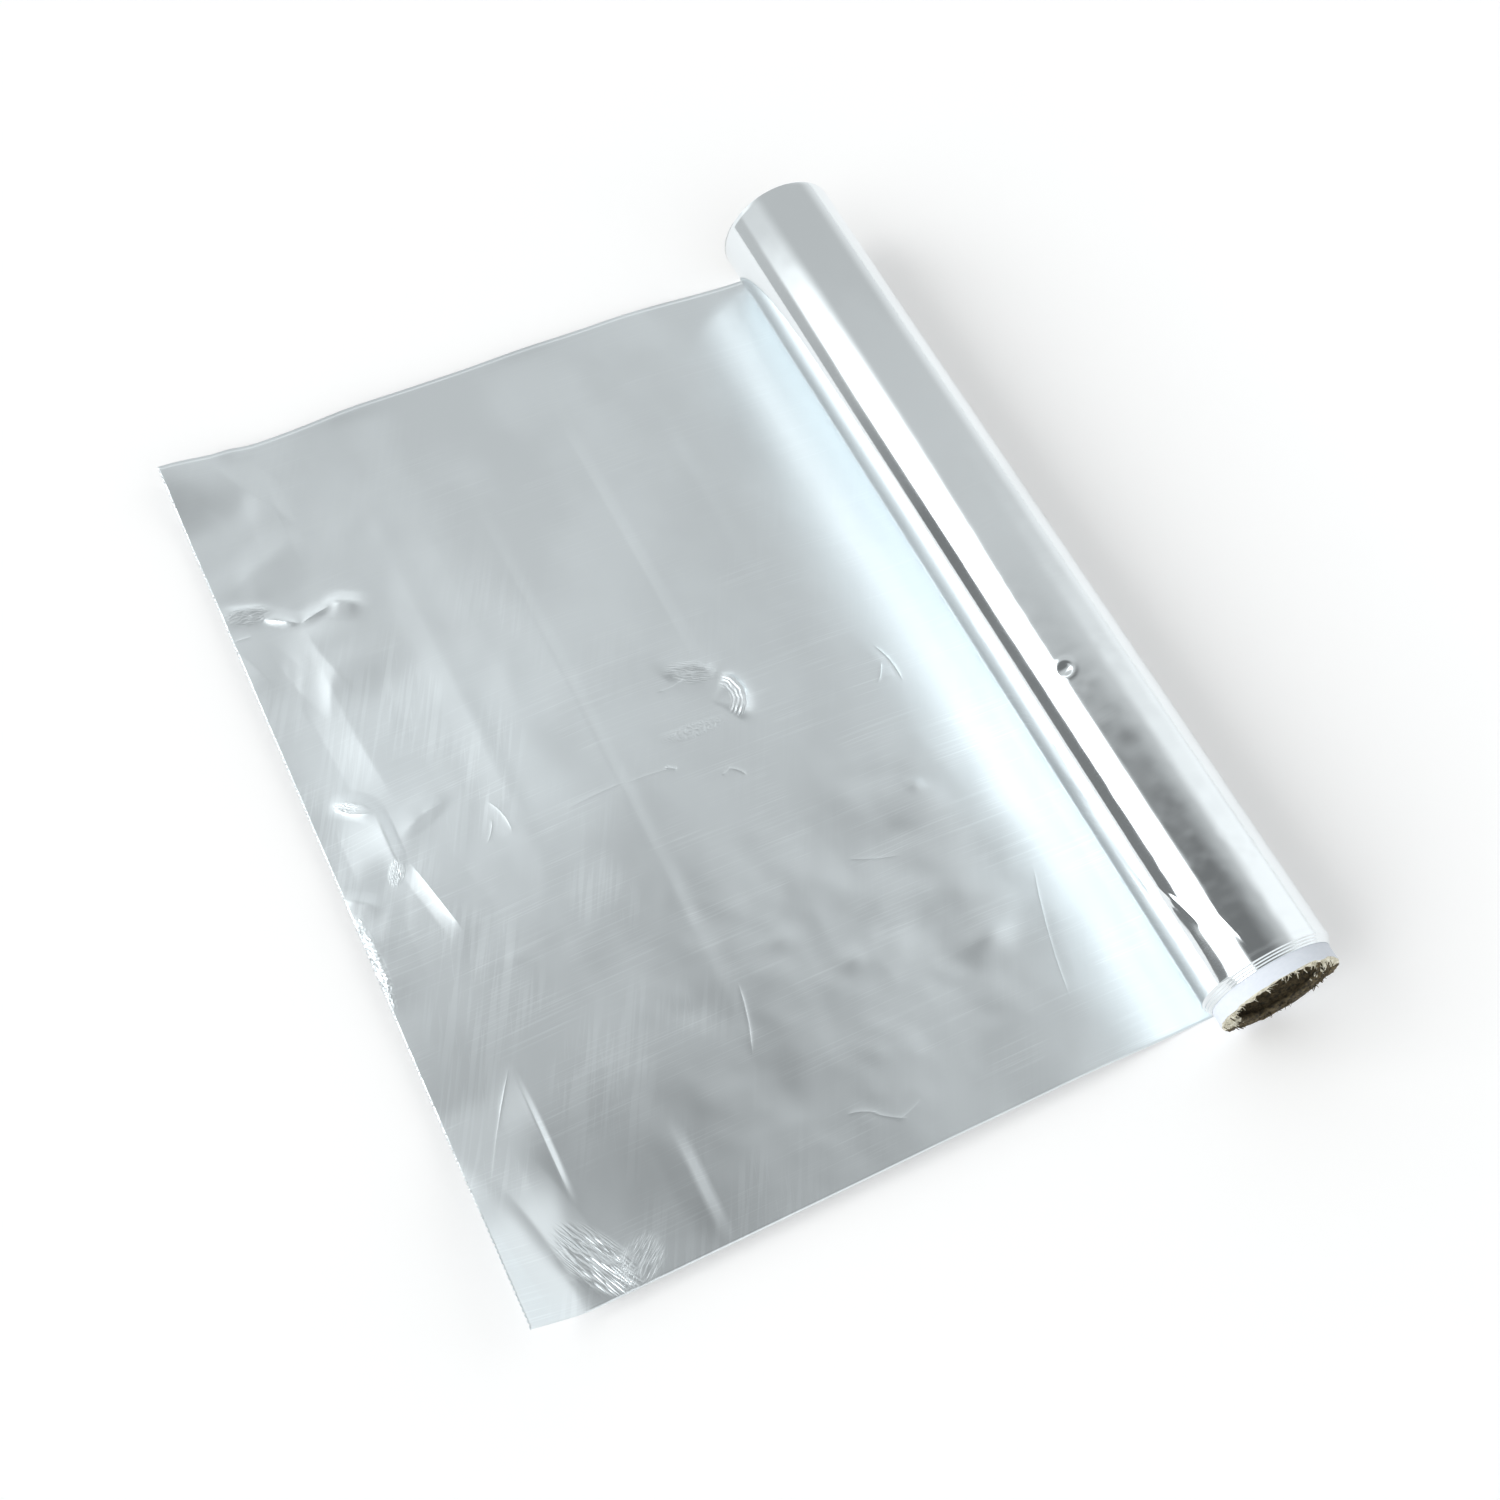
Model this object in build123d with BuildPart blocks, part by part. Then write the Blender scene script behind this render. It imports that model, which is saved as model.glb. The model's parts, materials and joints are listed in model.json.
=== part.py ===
"""Household roll of aluminium foil: a strip of foil wound on a paperboard tube, with a length pulled off it.

The roll lies on its side. The pulled-off length leaves it at the bottom and lies flat on the table. The tube
has slid towards one end, where it stands out of the foil and has drawn the inner turns along with it.

Frame: millimetres. The origin is on the tube's axis, at the middle of the outermost turns' width. +Y runs
along the tube, away from the end where it stands out, +Z is up, and the flat length of foil lies towards -X.
"""
import os

from build123d import *

# --- Paperboard tube ---
bore_radius = 15.0
tube_wall = 3.3
tube_length = 305.0
tube_overhang = 7.4          # how far the tube stands out of the outermost turns at its own end
tube_edge_chamfer = 0.2

# --- Foil strip ---
foil_width = 300.0           # along the roll
foil_thickness = 0.015
wound_build = 1.6            # all the wound turns together, from the tube to the outside
wound_groups = 4             # groups of turns, each drawn a little further along than the one round it
wound_slip = 2.2             # how far the innermost group has been drawn along
sheet_length = 219.4         # from the lowest line of the roll to the free edge
flat_spot_width = 3.0        # where the roll's own weight presses its underside flat

# --- Serrated free edge, left by the box's cutter ---
tooth_pitch = 1.5
tooth_depth = 0.5
tooth_tip_width = 0.3

# --- Worked out from the sizes above ---
tube_radius = bore_radius + tube_wall
tube_near_y = -foil_width / 2 - tube_overhang
roll_radius = tube_radius + wound_build
group_build = wound_build / wound_groups
group_slip = wound_slip / (wound_groups - 1)
flat_spot_half = flat_spot_width / 2
underside_z = -(roll_radius**2 - flat_spot_half**2) ** 0.5
sheet_top_z = underside_z + foil_thickness
sheet_root_x = -((roll_radius**2 - sheet_top_z**2) ** 0.5)
notch_half = (tooth_pitch - tooth_tip_width) / 2
notch_count = int(foil_width / tooth_pitch) - 1


# --- The tube: one plain paperboard cylinder, open right through ---
with BuildPart() as core_tube:
    with BuildSketch(Plane.XZ.offset(-tube_near_y)):
        Circle(tube_radius)
        Circle(bore_radius, mode=Mode.SUBTRACT)
    extrude(amount=-tube_length)
    chamfer(core_tube.edges().filter_by(GeomType.CIRCLE), tube_edge_chamfer)

core_tube.part.label = "core_tube"


# --- The foil: the wound turns as one thick ring, running out into the flat length ---
with BuildPart() as foil_strip:
    # The outermost group of turns, and the length pulled off it
    with BuildSketch(Plane.XZ.offset(foil_width / 2)):
        with BuildLine():
            ThreePointArc((flat_spot_half, underside_z), (0, roll_radius), (sheet_root_x, sheet_top_z))
            Polyline(
                (sheet_root_x, sheet_top_z),
                (-sheet_length, sheet_top_z),
                (-sheet_length, underside_z),
                (flat_spot_half, underside_z),
            )
        make_face()
        Circle(roll_radius - group_build, mode=Mode.SUBTRACT)
    extrude(amount=-foil_width)

    # The inner groups, each as wide as the strip and drawn further along than the last
    for group in range(1, wound_groups):
        group_radius = roll_radius - group * group_build
        with BuildSketch(Plane.XZ.offset(foil_width / 2 + group * group_slip)):
            Circle(group_radius)
            Circle(group_radius - group_build, mode=Mode.SUBTRACT)
        extrude(amount=-foil_width)

    # Notches between the teeth, cut along the free edge
    with BuildSketch(Plane.XY.offset(underside_z - foil_thickness)):
        with Locations((-sheet_length, 0)):
            with GridLocations(tooth_depth, tooth_pitch, 1, notch_count):
                Polygon(
                    (-tooth_depth, -notch_half),
                    (0, -notch_half),
                    (tooth_depth, 0),
                    (0, notch_half),
                    (-tooth_depth, notch_half),
                    align=None,
                )
    extrude(amount=3 * foil_thickness, mode=Mode.SUBTRACT)

foil_strip.part.label = "foil_strip"


os.makedirs("parts", exist_ok=True)
export_step(core_tube.part, "parts/core_tube.step")
export_step(foil_strip.part, "parts/foil_strip.step")
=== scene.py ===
"""Looks for a household roll of aluminium foil that lies on its side with a length pulled off it.

The CAD model fixes every size and place. This script dresses it: the wound turns with their bright outer
side, the pulled-off length with its matte inner side and its creases, and the paperboard tube with its torn
end. Lengths in the classes are millimetres in the CAD frame, and meshes are written in metres.
"""
import enum
import json
import logging
import math
from dataclasses import dataclass

import bpy
import numpy as np
from mathutils import Matrix, Vector


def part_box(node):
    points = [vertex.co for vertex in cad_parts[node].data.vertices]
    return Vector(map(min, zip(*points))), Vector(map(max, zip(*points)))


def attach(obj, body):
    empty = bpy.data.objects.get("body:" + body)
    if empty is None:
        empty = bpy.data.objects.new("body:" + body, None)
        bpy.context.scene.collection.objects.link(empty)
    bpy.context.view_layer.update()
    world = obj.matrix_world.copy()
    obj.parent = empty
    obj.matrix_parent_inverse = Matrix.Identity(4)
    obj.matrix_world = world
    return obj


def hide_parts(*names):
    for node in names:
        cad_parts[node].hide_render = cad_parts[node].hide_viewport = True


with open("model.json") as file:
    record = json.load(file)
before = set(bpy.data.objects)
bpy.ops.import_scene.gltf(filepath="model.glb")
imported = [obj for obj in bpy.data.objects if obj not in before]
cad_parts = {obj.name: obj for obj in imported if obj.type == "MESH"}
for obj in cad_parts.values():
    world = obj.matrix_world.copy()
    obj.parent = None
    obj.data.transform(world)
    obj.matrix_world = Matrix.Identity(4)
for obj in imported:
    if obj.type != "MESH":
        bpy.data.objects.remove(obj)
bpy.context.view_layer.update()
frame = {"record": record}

log = logging.getLogger("foil_roll")
MM = 0.001
BODY = "root"
TURN = 2 * math.pi
FOIL = 0.03  # the visible foil, thicker than the real one so that its skin stays closed
TALL = 1000.0  # a cell's height where a mark is the same all the way up
WHITE = (1.0, 1.0, 1.0, 1.0)


# ---------------------------------------------------------------------------------------------- helpers

class Lattice:
    """Smooth random values over a plane, from a seeded grid."""

    size = 64  # points along each side before the pattern repeats

    def __init__(self, seed: int) -> None:
        """Draws the grid that the seed picks."""
        self.grid = np.random.default_rng(seed).uniform(-1.0, 1.0, (self.size, self.size))

    def __call__(self, u: np.ndarray, v: np.ndarray, wrap: int = 0) -> np.ndarray:
        """Reads the field.

        Args:
            u: first coordinate, in grid steps.
            v: second coordinate, in grid steps.
            wrap: steps after which u repeats, or 0 for the whole grid.

        Returns:
            Values from -1 to 1, of u's shape.
        """
        u, v = np.broadcast_arrays(np.asarray(u, float), np.asarray(v, float))
        period = wrap or self.size
        iu, iv = np.floor(u).astype(int), np.floor(v).astype(int)
        fu, fv = u - iu, v - iv
        fu, fv = fu * fu * (3 - 2 * fu), fv * fv * (3 - 2 * fv)
        u0, u1 = iu % period, (iu + 1) % period
        v0, v1 = iv % self.size, (iv + 1) % self.size
        low = self.grid[u0, v0] * (1 - fu) + self.grid[u1, v0] * fu
        high = self.grid[u0, v1] * (1 - fu) + self.grid[u1, v1] * fu
        return low * (1 - fv) + high * fv


def smooth(low: float, high: float, value: np.ndarray) -> np.ndarray:
    """Smooth step from 0 at low to 1 at high."""
    t = np.clip((value - low) / (high - low), 0.0, 1.0)
    return t * t * (3 - 2 * t)


def bell(value: np.ndarray) -> np.ndarray:
    """Gaussian of height 1 and half-width 1."""
    return np.exp(-value * value)


def turned(x: np.ndarray, y: np.ndarray, degrees: float) -> tuple:
    """Coordinates along axes that are turned by an angle."""
    c, s = math.cos(math.radians(degrees)), math.sin(math.radians(degrees))
    return x * c + y * s, y * c - x * s


def make_object(name: str, points: np.ndarray, faces: list, materials: list, slots: np.ndarray | None = None,
                flat: bool = False) -> bpy.types.Object:
    """Makes a mesh object from points in millimetres.

    Args:
        name: the object's name.
        points: one row of x, y, z for each point.
        faces: point numbers of each face.
        materials: the object's materials, in slot order.
        slots: the slot number of each face, or None for the first.
        flat: True for flat shading.

    Returns:
        The object, linked to the scene.
    """
    mesh = bpy.data.meshes.new(name)
    mesh.from_pydata((np.asarray(points) * MM).tolist(), [], faces)
    for material in materials:
        mesh.materials.append(material)
    if slots is not None:
        mesh.polygons.foreach_set("material_index", np.asarray(slots, dtype=np.int32))
    mesh.polygons.foreach_set("use_smooth", np.full(len(mesh.polygons), not flat))
    mesh.update()
    made = bpy.data.objects.new(name, mesh)
    bpy.context.scene.collection.objects.link(made)
    return made


def grid_faces(rows: int, columns: int, close_rows: bool = False, close_columns: bool = False) -> np.ndarray:
    """Quads over a grid of points that are numbered row by row.

    Args:
        rows: points down the grid.
        columns: points across the grid.
        close_rows: join the last row to the first.
        close_columns: join the last column to the first.

    Returns:
        Four point numbers for each quad.
    """
    r = np.arange(rows if close_rows else rows - 1)
    c = np.arange(columns if close_columns else columns - 1)
    r, c = np.meshgrid(r, c, indexing="ij")
    r, c = r.ravel(), c.ravel()
    r1, c1 = (r + 1) % rows, (c + 1) % columns
    return np.stack([r * columns + c, r * columns + c1, r1 * columns + c1, r1 * columns + c], axis=1)


def zip_lines(first: list, second: list, place: np.ndarray) -> list:
    """Fills the gap between two lines of points that run the same way.

    Args:
        first: point numbers of one line, in order of rising place.
        second: point numbers of the other line, in the same order.
        place: each point's place along the lines.

    Returns:
        Triangles between the lines.
    """
    faces = []
    i = j = 0
    while i < len(first) - 1 or j < len(second) - 1:
        first_next = place[first[i + 1]] if i < len(first) - 1 else math.inf
        second_next = place[second[j + 1]] if j < len(second) - 1 else math.inf
        if first_next <= second_next:
            faces.append((first[i], first[i + 1], second[j]))
            i += 1
        else:
            faces.append((first[i], second[j + 1], second[j]))
            j += 1
    return faces


class Graph:
    """Short calls for building one node tree."""

    def __init__(self, tree: bpy.types.NodeTree) -> None:
        """Keeps the tree."""
        self.tree = tree

    def node(self, kind: str, inputs: dict | None = None, **settings: object) -> bpy.types.Node:
        """Adds a node.

        Args:
            kind: the node's type name.
            inputs: socket name or number to a value or a socket to link.
            settings: properties of the node itself.

        Returns:
            The node.
        """
        made = self.tree.nodes.new(kind)
        for name, value in settings.items():
            setattr(made, name, value)
        for key, value in (inputs or {}).items():
            if isinstance(value, bpy.types.NodeSocket):
                self.tree.links.new(value, made.inputs[key])
            else:
                made.inputs[key].default_value = value
        return made

    def math(self, operation: str, *values: object) -> bpy.types.NodeSocket:
        """A Math node's result."""
        return self.node("ShaderNodeMath", dict(enumerate(values)), operation=operation).outputs[0]

    def product(self, first: object, *others: object) -> bpy.types.NodeSocket:
        """Several values multiplied."""
        total = first
        for other in others:
            total = self.math("MULTIPLY", total, other)
        return total

    def vector(self, operation: str, *values: object, out: str = "Vector") -> bpy.types.NodeSocket:
        """A Vector Math node's result."""
        return self.node("ShaderNodeVectorMath", dict(enumerate(values)), operation=operation).outputs[out]

    def split(self, vector: object) -> bpy.types.NodeOutputs:
        """A vector's X, Y and Z."""
        return self.node("ShaderNodeSeparateXYZ", {0: vector}).outputs

    def ramp(self, value: object, low: float, high: float, to_low: object = 0.0, to_high: object = 1.0,
             kind: str = "SMOOTHSTEP") -> bpy.types.NodeSocket:
        """A value moved from one range to another.

        Args:
            value: what is read.
            low: start of the range read.
            high: end of the range read.
            to_low: what low becomes.
            to_high: what high becomes.
            kind: the way between them.

        Returns:
            The result's socket.
        """
        inputs = {"Value": value, "From Min": low, "From Max": high, "To Min": to_low, "To Max": to_high}
        return self.node("ShaderNodeMapRange", inputs, interpolation_type=kind).outputs["Result"]

    def band(self, value: object, rise: tuple, fall: tuple) -> bpy.types.NodeSocket:
        """1 within a band and 0 outside it, with soft sides.

        Args:
            value: what is read.
            rise: where the near side starts and where it is full.
            fall: where the far side is still full and where it ends.

        Returns:
            The result's socket.
        """
        return self.product(self.ramp(value, *rise), self.ramp(value, *fall, 1.0, 0.0))

    def noise(self, vector: object, detail: float, rough: float) -> bpy.types.NodeSocket:
        """A noise texture's value, one lump to each cell of the vector."""
        inputs = {"Vector": vector, "Scale": 1.0, "Detail": detail, "Roughness": rough}
        return self.node("ShaderNodeTexNoise", inputs).outputs["Fac"]

    def cells(self, vector: object, size: tuple, turn: float = 0.0,
              corner: tuple = (0.0, 0.0)) -> bpy.types.NodeSocket:
        """A vector measured in cells.

        Args:
            vector: what is read, in metres.
            size: the cell's sides in millimetres.
            turn: how far the cell's first side is turned from X, in degrees about Z.
            corner: the x and y that become 0, in millimetres.

        Returns:
            The result's socket.
        """
        inputs = {
            "Vector": vector,
            "Location": (corner[0] * MM, corner[1] * MM, 0.0),
            "Rotation": (0.0, 0.0, math.radians(turn)),
            "Scale": tuple(side * MM for side in size),
        }
        return self.node("ShaderNodeMapping", inputs, vector_type="TEXTURE").outputs[0]

    def effect(self, group: bpy.types.NodeTree, **inputs: object) -> bpy.types.NodeOutputs:
        """The outputs of a shared effect, placed with its own inputs."""
        return self.node("ShaderNodeGroup", inputs, node_tree=group).outputs

    def bump(self, height: object, depth: float, **under: bpy.types.NodeSocket) -> bpy.types.NodeSocket:
        """A normal bent by a height that is measured in depths, in millimetres."""
        inputs = {"Strength": 1.0, "Distance": depth * MM, "Height": height, **under}
        return self.node("ShaderNodeBump", inputs).outputs[0]

    def mix(self, amount: object, first: object, second: object) -> bpy.types.NodeSocket:
        """A blend of two colours."""
        inputs = {0: amount, 6: first, 7: second}
        return self.node("ShaderNodeMix", inputs, data_type="RGBA").outputs[2]

    def surface(self, inputs: dict) -> None:
        """Ends a material in a Principled shader with these inputs."""
        shader = self.node("ShaderNodeBsdfPrincipled", inputs)
        self.node("ShaderNodeOutputMaterial", {"Surface": shader.outputs[0]})

    def put_out(self, **values: bpy.types.NodeSocket) -> bpy.types.NodeTree:
        """Gives a node group its outputs.

        Args:
            values: the name of each output and its value.

        Returns:
            The group.
        """
        for name in values:
            self.tree.interface.new_socket(name=name, in_out="OUTPUT", socket_type="NodeSocketFloat")
        self.node("NodeGroupOutput", values)
        return self.tree


def new_group(name: str, **inputs: object) -> tuple:
    """Starts a shader node group that reads a Vector.

    Args:
        name: the group's name.
        inputs: the name of each further input and its default, a number or a tuple.

    Returns:
        The group's Graph and the sockets of its inputs.
    """
    group = bpy.data.node_groups.new(name, "ShaderNodeTree")
    group.interface.new_socket(name="Vector", in_out="INPUT", socket_type="NodeSocketVector")
    for socket, default in inputs.items():
        kind = "NodeSocketVector" if isinstance(default, tuple) else "NodeSocketFloat"
        made = group.interface.new_socket(name=socket, in_out="INPUT", socket_type=kind)
        made.default_value = default
    graph = Graph(group)
    return graph, graph.node("NodeGroupInput").outputs


def new_material(name: str) -> tuple:
    """Starts a material.

    Args:
        name: the material's name.

    Returns:
        The material, its Graph and the socket of its object coordinates.
    """
    made = bpy.data.materials.new(name)
    made.use_nodes = True
    made.node_tree.nodes.clear()
    graph = Graph(made.node_tree)
    return made, graph, graph.node("ShaderNodeTexCoord").outputs["Object"]


# --------------------------------------------------------------------------------------- shared effects

def rolling_lines_group() -> bpy.types.NodeTree:
    """Fine straight lines that the mill's rollers leave along the strip.

    Returns:
        A group with a Height and a Mask of the strongest lines, where the foil's colour is lightened as
        painted sheen.
    """
    graph, given = new_group("rolling_lines")
    place = given["Vector"]
    fine = graph.noise(graph.cells(place, (50.0, 0.42, 50.0)), 3.0, 0.6)
    broad = graph.noise(graph.cells(place, (90.0, 1.9, 90.0)), 2.0, 0.5)
    patches = graph.noise(graph.cells(place, (22.0, 14.0, 22.0)), 2.0, 0.5)
    mask = graph.product(
        graph.ramp(fine, 0.5, 0.72),
        graph.ramp(patches, 0.4, 0.62),
        graph.ramp(graph.split(place)["Y"], -0.03, 0.06, 1.0, 0.3),
    )
    height = graph.math("MULTIPLY_ADD", broad, 0.6, graph.math("MULTIPLY", fine, 0.4))
    return graph.put_out(Height=height, Mask=mask)


def handling_marks_group() -> bpy.types.NodeTree:
    """Faint burnished streaks that rubbing leaves across the strip, in patches, nearly all one way.

    Returns:
        A group with a Mask of the streaks, where the foil's colour is lightened as painted sheen.
    """
    graph, given = new_group("handling_marks")
    place = given["Vector"]
    streaks = graph.noise(graph.cells(place, (30.0, 1.3, 30.0), 62.0), 1.0, 0.5)
    fine = graph.noise(graph.cells(place, (12.0, 0.6, 12.0), 71.0), 2.0, 0.6)
    patches = graph.noise(graph.cells(place, (34.0, 22.0, 34.0), 62.0), 1.0, 0.5)
    across, along, _ = graph.split(place)
    mask = graph.product(
        graph.math("MAXIMUM", graph.ramp(streaks, 0.48, 0.62), graph.ramp(fine, 0.56, 0.76)),
        graph.ramp(across, -0.128, -0.145, 0.15, 1.0),
        graph.ramp(along, 0.05, 0.08, 1.0, 0.1),
        graph.ramp(patches, 0.42, 0.6),
    )
    return graph.put_out(Mask=mask)


def crease_line_group() -> bpy.types.NodeTree:
    """One thin crease: a sharp line from 0 to 1 along X, bowed to one side and fading at its ends.

    Returns:
        A group with a Height, 1 at the crest. Its Vector's Y is measured in widths of the crease.
    """
    graph, given = new_group("crease_line", Bow=0.0)
    along, off, _ = graph.split(given["Vector"])
    bulge = graph.math("MULTIPLY", along, graph.math("SUBTRACT", 1.0, along))
    off = graph.math("MULTIPLY_ADD", bulge, given["Bow"], off)
    crest = graph.math("POWER", 0.37, graph.math("ABSOLUTE", off))
    return graph.put_out(Height=graph.product(graph.ramp(bulge, 0.0, 0.2), crest))


def arc_creases_group() -> bpy.types.NodeTree:
    """Nested curved creases on one side of a centre.

    Returns:
        A group with a Height from 0 to 1.
    """
    graph, given = new_group(
        "arc_creases",
        Centre=(0.0, 0.0, 0.0),
        Radius=0.01,
        Band=0.002,
        Gap=0.001,
        Heading=(1.0, 0.0, 0.0),
        Narrowness=0.6,
    )
    place = given["Vector"]
    flat = graph.vector("MULTIPLY", place, (1.0, 1.0, 0.0))
    offset = graph.vector("SUBTRACT", flat, given["Centre"])
    depth = graph.math("SUBTRACT", graph.vector("LENGTH", offset, out="Value"), given["Radius"])
    wobble = graph.noise(graph.cells(place, (4.0, 4.0, 4.0)), 2.0, 0.5)
    phase = graph.math("MULTIPLY_ADD", wobble, 1.2, graph.math("DIVIDE", depth, given["Gap"]))
    near = graph.math("DIVIDE", graph.math("ABSOLUTE", depth), given["Band"])
    facing = graph.vector("DOT_PRODUCT", graph.vector("NORMALIZE", offset), given["Heading"], out="Value")
    facing = graph.math("DIVIDE", graph.math("SUBTRACT", facing, given["Narrowness"]), 0.25)
    inside = graph.product(graph.ramp(near, 0.55, 1.0, 1.0, 0.0), graph.ramp(facing, 0.0, 1.0))
    return graph.put_out(Height=graph.product(graph.math("PINGPONG", phase, 0.5), 2.0, inside))


def crushed_patch_group() -> bpy.types.NodeTree:
    """A patch of crushed foil, with sharp little crests that run mostly one way.

    Returns:
        A group with a Height, 1 at the crests. Its Vector is measured in patches from the patch's middle.
    """
    graph, given = new_group("crushed_patch", Fineness=(4.0, 8.0, 1.0))
    place = given["Vector"]
    inside = graph.ramp(graph.vector("LENGTH", place, out="Value"), 0.55, 1.05, 1.0, 0.0)
    value = graph.noise(graph.vector("MULTIPLY", place, given["Fineness"]), 1.0, 0.6)
    value = graph.math("ABSOLUTE", graph.math("SUBTRACT", value, 0.5))
    return graph.put_out(Height=graph.product(graph.math("MULTIPLY_ADD", value, -5.0, 1.0), inside))


def board_fibre_group() -> bpy.types.NodeTree:
    """Matted fibres of paper and board.

    Returns:
        A group with a Shade from 0 to 1 and a Height.
    """
    graph, given = new_group("board_fibre", Grain=1.0)
    inputs = {0: given["Vector"], "Scale": given["Grain"]}
    place = graph.node("ShaderNodeVectorMath", inputs, operation="SCALE").outputs[0]
    coarse = graph.noise(graph.cells(place, (2.0, 1.1, 2.0)), 4.0, 0.65)
    fine = graph.noise(graph.cells(place, (0.45, 0.45, 0.45)), 3.0, 0.6)
    height = graph.math("MULTIPLY_ADD", fine, 0.5, coarse)
    return graph.put_out(Shade=graph.ramp(coarse, 0.3, 0.7), Height=height)


# ------------------------------------------------------------------------------------------- finishes

class Side(enum.Enum):
    """Which side of the foil shows."""

    BRIGHT = "bright"
    MATTE = "matte"


class Detail:
    """A crease too fine for the mesh, with its own height in millimetres."""

    height: float

    def shape(self, graph: Graph, groups: dict, place: bpy.types.NodeSocket) -> bpy.types.NodeOutputs:
        """The outputs of the effect that draws it, one of them a Height."""
        raise NotImplementedError

    def add(self, graph: Graph, groups: dict, place: bpy.types.NodeSocket,
            total: object) -> bpy.types.NodeSocket:
        """Adds the crease to a height in a material.

        Args:
            graph: the material's graph.
            groups: the shared effects by name.
            place: object coordinates.
            total: the height so far, in millimetres.

        Returns:
            The new height.
        """
        made = self.shape(graph, groups, place)
        return graph.math("MULTIPLY_ADD", made["Height"], self.height, total)


@dataclass(frozen=True)
class Line(Detail):
    """A crease or scratch, in millimetres."""

    x0: float
    y0: float
    x1: float
    y1: float
    height: float
    width: float = 0.45
    bow: float = 0.0

    @property
    def x(self) -> float:
        """Where the line starts across the roll."""
        return self.x0

    def shape(self, graph: Graph, groups: dict, place: bpy.types.NodeSocket) -> bpy.types.NodeOutputs:
        """The outputs of the crease's effect."""
        dx, dy = self.x1 - self.x0, self.y1 - self.y0
        size = (math.hypot(dx, dy), self.width, TALL)
        local = graph.cells(place, size, math.degrees(math.atan2(dy, dx)), (self.x0, self.y0))
        return graph.effect(groups["crease_line"], Vector=local, Bow=-4 * self.bow / self.width)


@dataclass(frozen=True)
class Arcs(Detail):
    """Nested curved creases, in millimetres."""

    x: float
    y: float
    radius: float
    band: float
    gap: float
    heading: float
    narrowness: float
    height: float

    def shape(self, graph: Graph, groups: dict, place: bpy.types.NodeSocket) -> bpy.types.NodeOutputs:
        """The outputs of the creases' effect."""
        turn = math.radians(self.heading)
        return graph.effect(
            groups["arc_creases"],
            Vector=place,
            Centre=(self.x * MM, self.y * MM, 0.0),
            Radius=self.radius * MM,
            Band=self.band * MM,
            Gap=self.gap * MM,
            Heading=(math.cos(turn), math.sin(turn), 0.0),
            Narrowness=self.narrowness,
        )


@dataclass(frozen=True)
class Crush(Detail):
    """A patch of fine crushed creases, in millimetres."""

    x: float
    y: float
    along: float
    across: float
    turn: float
    height: float
    fineness: tuple

    def shape(self, graph: Graph, groups: dict, place: bpy.types.NodeSocket) -> bpy.types.NodeOutputs:
        """The outputs of the patch's effect."""
        local = graph.cells(place, (self.along, self.across, TALL), self.turn, (self.x, self.y))
        return graph.effect(groups["crushed_patch"], Vector=local, Fineness=(*self.fineness, 1.0))


@dataclass(frozen=True)
class Rub:
    """A stretch that handling has left duller or shinier, in millimetres."""

    x: float
    y: float
    across: float
    along: float
    change: float

    def add(self, graph: Graph, place: bpy.types.NodeSocket, rough: object) -> bpy.types.NodeSocket:
        """Adds the stretch to a roughness.

        Args:
            graph: the material's graph.
            place: object coordinates.
            rough: the roughness so far.

        Returns:
            The new roughness.
        """
        local = graph.cells(place, (self.across, self.along, TALL), 0.0, (self.x, self.y))
        inside = graph.ramp(graph.vector("LENGTH", local, out="Value"), 0.25, 1.0, 1.0, 0.0)
        return graph.math("MULTIPLY_ADD", inside, self.change, rough)


@dataclass(frozen=True)
class FoilFinish:
    """Aluminium foil seen on one side: bright where it met the polished roller, matte where it met foil."""

    side: Side
    colour: tuple
    smoothest: float
    roughest: float
    line_depth: float
    line_painted_sheen: float
    mark_painted_sheen: float
    rubs: tuple = ()

    def material(self, groups: dict, details: tuple = ()) -> bpy.types.Material:
        """Builds the material.

        Args:
            groups: the shared effects by name.
            details: creases, arcs and crushed patches too fine for the mesh.

        Returns:
            The material.
        """
        made, graph, place = new_material(f"foil_{self.side.value}")
        rolled = graph.effect(groups["rolling_lines"], Vector=place)
        rubbed = graph.effect(groups["handling_marks"], Vector=place)
        cloud = graph.noise(graph.cells(place, (33.0, 50.0, 33.0)), 3.0, 0.5)
        rough = graph.ramp(cloud, 0.3, 0.7, self.smoothest, self.roughest)
        for rub in self.rubs:
            rough = rub.add(graph, place, rough)
        # painted sheen: the colour is lightened along the strongest rolling lines and the handling streaks,
        # for the light that they catch; the lines and streaks themselves are real, and the lines' grooves
        # are the bump below
        shade = graph.math("MULTIPLY", rolled["Mask"], self.line_painted_sheen)
        shade = graph.math("MULTIPLY_ADD", rubbed["Mask"], self.mark_painted_sheen, shade)
        dark = tuple(0.95 * c for c in self.colour)
        light = tuple(min(1.0, 1.10 * c) for c in self.colour)
        colour = graph.mix(graph.ramp(cloud, 0.35, 0.65), (*dark, 1.0), (*self.colour, 1.0))
        colour = graph.mix(shade, colour, (*light, 1.0))
        normal = graph.bump(rolled["Height"], self.line_depth)
        total = 0.0
        for detail in details:
            total = detail.add(graph, groups, place, total)
        if details:
            normal = graph.bump(total, 1.0, Normal=normal)
        inputs = {"Base Color": colour, "Metallic": 1.0, "Roughness": rough, "Normal": normal}
        graph.surface(inputs)
        return made


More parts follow.
